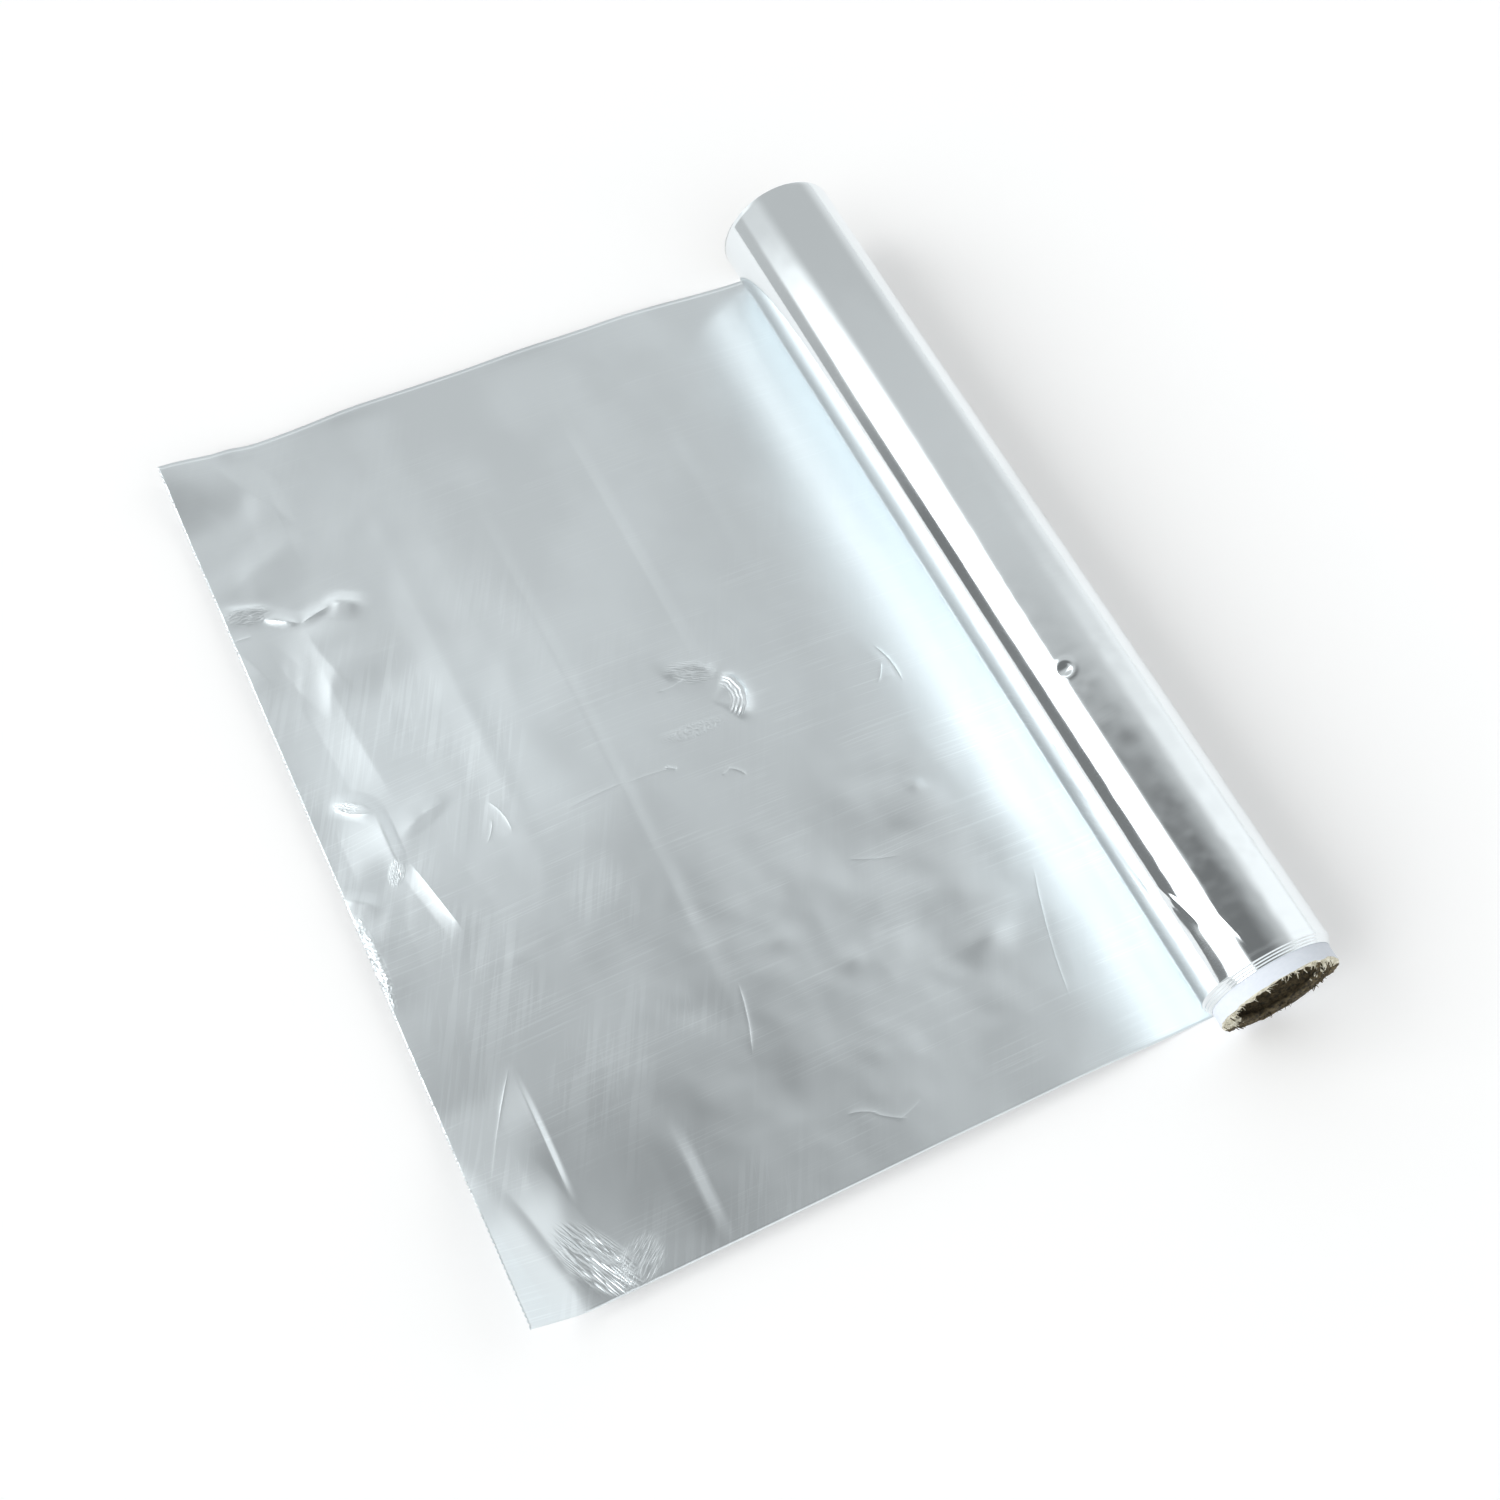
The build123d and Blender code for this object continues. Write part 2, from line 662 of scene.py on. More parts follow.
@dataclass(frozen=True)
class BoardFinish:
    """Paper or board: a matted surface between two shades."""

    name: str
    light: tuple
    dark: tuple
    grain: float
    depth: float

    def material(self, groups: dict) -> bpy.types.Material:
        """Builds the material from the shared effects by name."""
        made, graph, place = new_material(self.name)
        fibre = graph.effect(groups["board_fibre"], Vector=place, Grain=self.grain)
        inputs = {
            "Base Color": graph.mix(fibre["Shade"], (*self.dark, 1.0), (*self.light, 1.0)),
            "Roughness": graph.ramp(fibre["Shade"], 0.0, 1.0, 0.72, 0.92),
            "Normal": graph.bump(fibre["Height"], self.depth),
        }
        graph.surface(inputs)
        return made


BRIGHT_FOIL = FoilFinish(Side.BRIGHT, (0.865, 0.905, 0.925), 0.07, 0.12, 0.0016, 0.2, 0.0)
RUBS = (
    Rub(-182.0, 2.0, 94.0, 78.0, 0.16),
    Rub(-152.0, -132.0, 52.0, 60.0, -0.06),
)
MATTE_FOIL = FoilFinish(Side.MATTE, (0.845, 0.89, 0.91), 0.36, 0.42, 0.006, 0.9, 0.55, RUBS)
WHITE_PLY = BoardFinish("white_ply", (0.77, 0.80, 0.86), (0.73, 0.765, 0.83), 1.0, 0.03)
# brown board, its own brown darkened nearly to black as painted shade inside the bore; the same colour
# paints the shade on the torn end's lower side and on the lower fibres
BROWN_BOARD_AND_SHADE = BoardFinish("brown_board_and_painted_shade", (0.15, 0.115, 0.06), (0.022, 0.016, 0.008), 1.4, 0.3)
TORN_FIBRE = BoardFinish("torn_fibre", (0.88, 0.85, 0.74), (0.52, 0.48, 0.35), 1.6, 0.2)


# ---------------------------------------------------------------------------------------------- sizes

@dataclass(frozen=True)
class Sizes:
    """The CAD model's own sizes, in millimetres."""

    roll_radius: float
    tube_radius: float
    bore_radius: float
    half_width: float
    slip: float
    sheet_length: float
    floor: float
    tube_near: float
    tube_far: float

    @classmethod
    def from_frame(cls) -> "Sizes":
        """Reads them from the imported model."""
        foil_low, foil_high = (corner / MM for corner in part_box("foil_strip"))
        tube_low, tube_high = (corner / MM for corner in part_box("core_tube"))
        bore = next(m for m in frame["record"]["mounts"] if m["name"] == "core_bore")
        return cls(
            roll_radius=foil_high.z,
            tube_radius=tube_high.x,
            bore_radius=bore["dims"]["r_mm"],
            half_width=foil_high.y,
            slip=-foil_low.y - foil_high.y,
            sheet_length=-foil_low.x,
            floor=foil_low.z,
            tube_near=tube_low.y,
            tube_far=tube_high.y,
        )


# ---------------------------------------------------------------------------------------- marks

@dataclass(frozen=True)
class Mound:
    """A soft hump or hollow."""

    x: float
    y: float
    across: float
    along: float
    height: float

    def rise(self, x: np.ndarray, y: np.ndarray) -> np.ndarray:
        """Height at each point."""
        return self.height * bell(np.hypot((x - self.x) / self.across, (y - self.y) / self.along))


@dataclass(frozen=True)
class Ridge:
    """A crease between two points: sharp at its crest, each side with its own width, fading at its ends."""

    x0: float
    y0: float
    x1: float
    y1: float
    height: float
    left: float
    right: float
    bow: float = 0.0

    def rise(self, x: np.ndarray, y: np.ndarray) -> np.ndarray:
        """Height at each point. Left is the left hand on the way from the first point to the second."""
        dx, dy = self.x1 - self.x0, self.y1 - self.y0
        length = math.hypot(dx, dy)
        along = ((x - self.x0) * dx + (y - self.y0) * dy) / (length * length)
        off = (-(x - self.x0) * dy + (y - self.y0) * dx) / length
        off = off - self.bow * 4 * along * (1 - along)
        width = np.where(off > 0, self.left, self.right)
        ends = smooth(-0.05, 0.4, along) * smooth(1.05, 0.6, along)
        tent = np.clip(1.04 - np.sqrt((off / width) ** 2 + 0.0016), 0.0, 1.0)
        return self.height * ends * tent * (0.7 + 0.3 * tent)


@dataclass(frozen=True)
class Arc:
    """A curved rim on one side of a knock: it rises from inside and drops outside."""

    x: float
    y: float
    radius: float
    heading: float
    half_spread: float
    height: float
    inside: float
    outside: float

    def rise(self, x: np.ndarray, y: np.ndarray) -> np.ndarray:
        """Height at each point."""
        dx, dy = x - self.x, y - self.y
        d = np.hypot(dx, dy) - self.radius
        angle = np.degrees(np.arctan2(dy, dx)) - self.heading
        angle = np.abs((angle + 180.0) % 360.0 - 180.0) / self.half_spread
        width = np.where(d > 0, self.outside, self.inside)
        return self.height * smooth(1.0, 0.5, angle) * np.exp(-np.abs(d) / width)


@dataclass(frozen=True)
class Crumple:
    """A patch of crushed foil: sharp little crests every way."""

    x: float
    y: float
    across: float
    along: float
    height: float
    cell: float
    seed: int
    turn: float = 0.0
    stretch: float = 1.0
    sharp: bool = True

    def rise(self, x: np.ndarray, y: np.ndarray) -> np.ndarray:
        """Height at each point."""
        u, v = turned(x - self.x, y - self.y, self.turn)
        inside = smooth(1.25, 0.5, np.hypot(u / self.across, v / self.along))
        cells = u / self.cell / self.stretch, v / self.cell
        first = Lattice(self.seed)(*cells)
        second = Lattice(self.seed + 50)(cells[0] * 2.1 + 7, cells[1] * 2.1 + 3)
        if self.sharp:
            first, second = 1 - 2 * np.abs(first), 1 - 2 * np.abs(second)
        return self.height * inside * (first + 0.45 * second)


def spread(low: float, high: float, count: int, dense: list) -> np.ndarray:
    """Places points closer together where there is more to show.

    Args:
        low: the first point.
        high: the last point.
        count: how many points.
        dense: for each busy stretch, its start, its end and how many times closer its points are.

    Returns:
        The points, rising.
    """
    fine = np.linspace(low, high, 4000)
    weight = np.ones_like(fine)
    for start, stop, times in dense:
        weight += (times - 1) * smooth(start - 4, start + 1, fine) * smooth(stop + 4, stop - 1, fine)
    total = np.concatenate([[0.0], np.cumsum((weight[1:] + weight[:-1]) / 2)])
    return np.interp(np.linspace(0.0, total[-1], count), total, fine)


# --------------------------------------------------------------------------------------- wound turns

@dataclass
class WoundTurns:
    """The wound turns: a bright ring, stepped at its ends, with small ripples, a dent and a few creases."""

    sizes: Sizes
    around: int = 288
    along: int = 236
    groups: int = 4
    rounding: tuple = ((0.20, 0.0), (0.08, 0.05), (0.02, 0.14), (0.0, 0.26))
    seed: int = 11
    ripple: float = 0.042
    swell: float = 0.035
    dent: tuple = (-26.0, -50.0)
    dent_depth: float = 0.22
    dent_rim: float = 0.10
    end_rim: float = 0.06
    shoulder: float = -23.4
    shoulder_height: float = 0.28
    marks: tuple = (
        Ridge(-21.6, -117.0, -16.2, -135.0, 0.10, 0.7, 0.9, 0.4),
        Ridge(-20.8, -121.0, -18.0, -132.0, 0.06, 0.5, 0.8),
        Ridge(-19.8, -126.0, -20.2, -150.0, 0.05, 1.6, 1.2),
        Ridge(-11.6, -132.0, -8.4, -147.0, 0.10, 0.6, 0.9, 0.5),
        Ridge(-11.2, -126.0, -10.2, -144.0, 0.05, 1.2, 0.8),
    )

    def profile(self) -> tuple:
        """Walks round the ring's section.

        Returns:
            Radius and place along the roll of each row, and where the outside's rows start and stop.
        """
        s = self.sizes
        build = s.roll_radius - s.tube_radius
        slip = s.slip / (self.groups - 1)
        rows = [(s.tube_radius, -s.half_width - s.slip)]
        for group in range(self.groups - 1, -1, -1):
            outer = s.roll_radius - group * build / self.groups
            end = -s.half_width - group * slip
            rows += [(outer - inset, end + past) for inset, past in self.rounding]
            if group:
                rows += [(outer, end + slip - 0.04)]
        start = len(rows) - 1
        busy = [(-150, -112, 2.6), (-56, -44, 2.6)]
        outside = spread(-s.half_width + 0.22, s.half_width - 0.22, self.along, busy)[1:]
        rows += [(s.roll_radius, y) for y in outside]
        stop = len(rows)
        for group in range(self.groups):
            outer = s.roll_radius - group * build / self.groups
            end = s.half_width - group * slip
            rows += [(outer - 0.02, end - 0.06), (outer - 0.10, end)]
            if group < self.groups - 1:
                rows += [(outer - build / self.groups, end), (outer - build / self.groups, end - slip + 0.3)]
        rows += [(s.tube_radius, s.half_width - s.slip)]
        return np.array(rows), start, stop

    def relief(self, angle: np.ndarray, y: np.ndarray) -> np.ndarray:
        """How far the outside stands off a true cylinder.

        Args:
            angle: angle from the top towards the far side from the sheet, in radians.
            y: place along the roll.

        Returns:
            Height in millimetres.
        """
        radius = self.sizes.roll_radius
        turn = angle / TURN
        arc = radius * np.where(angle > math.pi, angle - TURN, angle)

        # ripples that fade away from the near end, and on the sheet's side
        ripples = Lattice(self.seed)(turn * 24, y / 5.0, 24)
        ripples = ripples + 0.5 * Lattice(self.seed + 1)(turn * 48, y / 2.6, 48)
        ripples = ripples * (0.4 + 0.6 * smooth(-17.0, -11.0, arc))
        swell = Lattice(self.seed + 2)(turn * 6, y / 34.0, 6)
        nearness = smooth(140.0, -150.0, y)
        height = self.ripple * (0.12 + 0.88 * nearness**2) * ripples + self.swell * swell

        # the dent with its raised rim, the creases, and the rim of the near end
        degrees, along = self.dent
        reach = np.hypot(arc - radius * math.radians(degrees), y - along)
        height -= self.dent_depth * bell(reach / 1.7) - self.dent_rim * bell((reach - 2.6) / 0.8)
        for mark in self.marks:
            height += mark.rise(arc, y)
        height += self.end_rim * bell((y + 148.9) / 0.9)

        # a long soft shoulder on the sheet's side
        past = arc - self.shoulder
        height += self.shoulder_height * bell(past / np.where(past > 0, 3.6, 14.0))
        return height

    def build(self, finish: bpy.types.Material) -> bpy.types.Object:
        """Makes the piece.

        Args:
            finish: the bright foil.

        Returns:
            The object.
        """
        s = self.sizes
        rows, start, stop = self.profile()
        radius = np.repeat(rows[:, :1], self.around, axis=1)
        y = np.repeat(rows[:, 1:], self.around, axis=1)
        angle = np.broadcast_to(np.arange(self.around) * TURN / self.around, radius.shape)
        radius[start:stop] += self.relief(angle, y)[start:stop]
        z = np.maximum(radius * np.cos(angle), s.floor + FOIL)
        points = np.stack([radius * np.sin(angle), y, z], axis=-1).reshape(-1, 3)
        faces = grid_faces(len(rows), self.around, close_rows=True, close_columns=True)
        return make_object("foil_roll", points, faces[:, ::-1].tolist(), [finish])


# ------------------------------------------------------------------------------------ pulled-off length

CREASES = (
    # the whole length bows up a little between the free edge and the roll
    Mound(-112, 12, 78, 125, 2.0),
    Mound(-140, 14, 48, 62, 5.2),
    Mound(-150, -66, 62, 40, 1.6),
    Mound(-178, -100, 26, 22, 1.3),
    # bands that the roll's curve has set across the strip
    Ridge(-134, -112, -134, 148, 0.62, 10, 4),
    Ridge(-164, -60, -163, 130, 0.5, 8, 4),
    Ridge(-164, -150, -164, -112, 0.8, 6, 2),
    Ridge(-150, 20, -150, 150, 0.3, 7, 3),
    Ridge(-96, 0, -96, 150, 0.45, 11, 4),
    Ridge(-66, 10, -65, 150, 0.4, 11, 4),
    Ridge(-191, 90, -190, 150, 0.4, 9, 4),
    # upper knot of creases at the free edge
    Ridge(-221, 93, -203, 87, 1.2, 3, 7),
    Ridge(-209, 86, -197.5, 77.5, 1.0, 5, 2.5),
    Ridge(-199, 78, -187, 80.5, 0.8, 5, 2.2),
    Ridge(-190, 83, -177, 75, 1.5, 5, 6),
    Ridge(-189.5, 44, -198, 82, 2.0, 12, 20, 2.2),
    Ridge(-194, 6, -198, 62, 1.0, 9, 14, 1.0),
    Ridge(-211, 56, -222, 86, 0.9, 7, 9),
    Ridge(-182, 112, -220, 96, 0.9, 14, 9),
    Ridge(-206, 150, -183, 108, 0.8, 9, 12),
    # lower knot of creases at the free edge
    Ridge(-201.4, -14, -201.2, 10.5, 1.8, 12, 3),
    Ridge(-200.5, 7, -212.5, 16, 1.2, 5, 4, -1.5),
    Ridge(-198, -3, -180, 3, 0.9, 7, 3),
    Ridge(-191.6, -42, -198.6, -9, 0.9, 4, 11),
    Ridge(-221, -13, -209.5, -22, 1.3, 4, 7),
    Ridge(-217, -54, -216.4, -18, 1.2, 4, 10),
    Ridge(-215, -36, -206, -18, 0.9, 6, 5),
    Mound(-182, -52, 3, 1.5, 0.25),
    # near corner by the free edge
    Crumple(-197, -140, 10, 7, 0.28, 4.0, 8, -50.0, 2.4),
    Ridge(-196, -124, -196, -80, 0.9, 8, 1.6),
    Ridge(-203.0, -148, -214, -104, 1.3, 9, 11, -1.5),
    # the knock in the middle
    Mound(-103, 1.5, 12, 10, -0.9),
    Arc(-97, -1, 10.0, -4, 60, 1.5, 4.0, 1.6),
    Arc(-102, 0, 12.5, 75, 42, 0.8, 1.8, 5.0),
    # small knocks and lumps
    Arc(-175, -12, 8, 5, 60, 0.3, 2.5, 1.0),
    Arc(-50, -9, 8, 5, 60, 0.3, 2.5, 1.0),
    Mound(-54.7, -50.4, 2.0, 1.7, 0.7),
    Mound(-97, -93, 4, 3, 0.6),
    Mound(-60, -103, 8, 4.5, 1.0),
    Mound(-113, -79, 5, 3, 0.4),
    Crumple(-60, -86, 40, 60, 0.5, 13.0, 41, 20.0, 1.3, False),
    Crumple(-110, -98, 60, 50, 0.26, 11.0, 43, 0.0, 1.0, False),
    Crumple(-178, -30, 30, 100, 0.28, 10.0, 47, 60.0, 1.8, False),
    Crumple(-190, 100, 30, 50, 0.45, 14.0, 49, 70.0, 1.6, False),
    Crumple(-203, 50, 16, 100, 0.22, 13.0, 61, 70.0, 1.8),
    # the far edge
    Mound(-196, 150, 5, 4, 1.0),
    Mound(-157, 151, 13, 5, 0.9),
    Mound(-95, 151, 15, 4, 0.7),
    Mound(-25, 147, 2.4, 2.2, 0.6),
)

THIN_CREASES = (
    Line(-219.0, 80.6, -213.0, 80.6, 0.16, 0.6),
    Line(-208.0, 84.5, -198.0, 78.2, 0.26, 0.7),
    Line(-198.6, 78.2, -188.0, 80.2, 0.26, 0.6),
    Line(-211.3, 14.2, -201.3, 7.3, 0.26, 0.5, -1.2),
    Line(-189.0, 0.8, -182.5, 1.8, 0.16, 0.5, -0.4),
    Line(-198.3, -10.8, -192.0, -39.5, 0.16, 0.6),
    Line(-195.9, -84.0, -195.9, -120.0, 0.08, 0.5),
    Line(-196.0, -80.0, -215.0, -112.5, 0.12, 0.35, -0.8),
    Line(-129.6, -85.0, -135.4, -106.5, 0.15, 0.45, 0.9),
    Line(-153.0, -17.0, -131.0, -16.4, 0.10, 0.5, 0.6),
    Line(-133.0, -16.6, -117.0, -17.6, 0.10, 0.5, 0.4),
    Line(-120.0, -16.2, -116.5, -18.2, 0.26, 0.5),
    Line(-103.0, -23.6, -98.5, -28.0, 0.18, 0.5, 0.6),
    Line(-105.5, -25.2, -101.5, -23.8, 0.16, 0.5),
    Line(-84.0, -64.0, -68.5, -69.6, 0.12, 0.6, -0.5),
    Line(-119.5, -131.8, -111.0, -135.5, 0.12, 0.5, 0.7),
    Line(-113.0, -134.2, -104.5, -140.0, 0.12, 0.5, -0.5),
    Line(-108.5, -139.3, -99.0, -136.5, 0.10, 0.5, -0.6),
    Line(-34.0, -86.0, -47.0, -131.0, 0.07, 0.45, -1.2),
    Line(-111.5, 8.0, -101.0, 9.8, 0.16, 0.5, -0.8),
    Line(-171.2, -3.8, -168.2, -17.2, 0.12, 0.4, 1.3),
    Line(-171.8, -9.8, -176.0, -16.4, 0.12, 0.4, 0.5),
    Line(-42.4, -1.0, -39.8, -17.0, 0.12, 0.4, 1.3),
    Line(-43.0, -8.2, -47.8, -15.0, 0.12, 0.4, 0.5),
)

KNOCKS = (
    Arcs(-97.0, -1.0, 8.2, 2.8, 1.15, -4.0, 0.52, 0.13),
)

CRUSHED = (
    Crush(-196.5, -139.0, 15.0, 7.5, -62.0, 0.22, (1.5, 5.5)),
    Crush(-186.0, -144.0, 9.0, 7.0, 40.0, 0.12, (1.2, 6.0)),
    Crush(-202.6, -13.0, 4.6, 2.6, 60.0, 0.16, (1.6, 3.4)),
    Crush(-208.0, 12.5, 4.4, 2.4, -35.0, 0.12, (1.6, 2.6)),
    Crush(-98.5, 10.5, 9.0, 4.4, -22.0, 0.12, (1.6, 4.4)),
    Crush(-106.0, -8.0, 12.0, 3.0, 0.0, 0.10, (5.0, 1.4)),
    Crush(-212.0, 88.0, 8.0, 4.0, -10.0, 0.12, (2.0, 3.0)),
    Crush(-218.0, -36.0, 2.6, 17.0, 0.0, 0.22, (1.2, 7.0)),
)


@dataclass
class PulledLength:
    """The length pulled off the roll: matte side up on the table, creased, and lifted at its corners."""

    sizes: Sizes
    rows: int = 236
    columns: int = 204
    tooth_pitch: float = 1.5
    tooth_depth: float = 0.5
    tooth_tip: float = 0.3
    edge_zone: float = -178.0
    curls: tuple = ((0.21, 16.0, -203.5), (0.17, -14.0, -206.0))
    far_lift: float = 5.0
    seed: int = 23
    marks: tuple = CREASES

    def height(self, x: np.ndarray, y: np.ndarray) -> np.ndarray:
        """How far the sheet's underside stands off the table.

        Args:
            x: place across the roll.
            y: place along the roll.

        Returns:
            Height in millimetres.
        """
        s = self.sizes

        # the strip rises as it comes free of the roll, and its waves and marks start there
        waves = 0.22 * Lattice(self.seed)(x / 24.0, y / 130.0)
        waves = waves + 0.40 * Lattice(self.seed + 1)(x / 46.0, y / 52.0)
        rise = 0.25 * smooth(-4.0, -30.0, x) + 3.2 * smooth(-14.0, -62.0, x)
        rise = rise + waves * smooth(-30.0, -62.0, x)
        for mark in self.marks:
            rise = rise + mark.rise(x, y) * smooth(-22.0, -60.0, x)

        # the near corner curls up along two lines, and the far corner lifts a little
        for slope, turn, start in self.curls:
            past = -turned(x - start, y + s.half_width, turn)[0]
            curl = slope * (np.sqrt(past * past + 7.0) + past) * smooth(-20.0, -8.0, past)
            rise = rise + curl * smooth(-84.0, -124.0, y)
        far = smooth(30.0, 0.0, np.hypot(x + s.sheet_length, y - s.half_width))
        return np.maximum(rise + self.far_lift * far, 0.0)

    def plan(self) -> tuple:
        """Lays out the flat cut: a grid, and a line of teeth along the free edge.

        Returns:
            The points' x and y, and the faces.
        """
        s = self.sizes
        inner = -s.sheet_length + self.tooth_depth + 0.3
        busy = [(-220, -184, 3.2), (-114, -84, 2.4), (-136, -132, 1.6)]
        x = spread(inner, 1.5, self.columns, busy)[::-1]
        busy = [(-150, -126, 2.2), (-26, 18, 2.2), (38, 92, 1.6)]
        y = spread(-s.half_width, s.half_width, self.rows, busy)
        xs, ys = np.meshgrid(x, y, indexing="ij")
        faces = [tuple(f) for f in grid_faces(self.columns, self.rows).tolist()]
        rng = np.random.default_rng(self.seed)
        half = (self.tooth_pitch - self.tooth_tip) / 2
        edge = [(-s.sheet_length, -s.half_width)]
        for tooth in range(1, int(2 * s.half_width / self.tooth_pitch)):
            middle = -s.half_width + tooth * self.tooth_pitch
            depth = self.tooth_depth * rng.uniform(0.7, 1.2)
            edge += [
                (-s.sheet_length + rng.uniform(0.0, 0.12), middle - half),
                (-s.sheet_length + depth, middle + rng.uniform(-0.15, 0.15)),
                (-s.sheet_length + rng.uniform(0.0, 0.12), middle + half),
            ]
        edge += [(-s.sheet_length, s.half_width)]
        edge = np.array(edge)
        base = xs.size
        all_x = np.concatenate([xs.ravel(), edge[:, 0]])
        all_y = np.concatenate([ys.ravel(), edge[:, 1]])
        last = list(range((self.columns - 1) * self.rows, base))
        teeth = list(range(base, base + len(edge)))
        faces += zip_lines(last, teeth, all_y)
        return all_x, all_y, faces

    def build(self, top: bpy.types.Material, edge: bpy.types.Material,
              under: bpy.types.Material) -> bpy.types.Object:
        """Makes the piece, a closed skin as thick as the foil.

        Args:
            top: the matte side.
            edge: the matte side along the free edge, with that edge's own creases.
            under: the bright side.

        Returns:
            The object.
        """
        x, y, faces = self.plan()
        z = self.sizes.floor + self.height(x, y)
        count = len(x)
        points = np.concatenate([np.stack([x, y, z + FOIL], axis=-1), np.stack([x, y, z], axis=-1)])

        # both layers share one set of triangles, so that they can't cut through each other
        split = [f for f in faces if len(f) == 3]
        split += [t for f in faces if len(f) == 4 for t in ((f[0], f[1], f[2]), (f[0], f[2], f[3]))]
        top_faces = [f[::-1] for f in split]
        under_faces = [tuple(i + count for i in f) for f in split]

        # an edge that only one face has is the outline, and a wall closes it
        outline = {}
        for face in faces:
            for a, b in zip(face, face[1:] + face[:1]):
                if outline.pop((b, a), None) is None:
                    outline[(a, b)] = True
        walls = [(a, b, b + count, a + count) for a, b in outline]
        by_edge = x[np.array([f[0] for f in top_faces])] < self.edge_zone
        slots = np.concatenate([np.where(by_edge, 1, 0), np.full(len(under_faces) + len(walls), 2)])
        return make_object("foil_sheet", points, top_faces + under_faces + walls, [top, edge, under], slots)


# ------------------------------------------------------------------------------------------ paper tube

# the brown slot is the bore's board, and on the torn end's lower side it is painted shade
WHITE_SLOT, BROWN_AND_SHADE_SLOT, TORN_SLOT = 0, 1, 2  # the tube's materials, in the order that build gives them


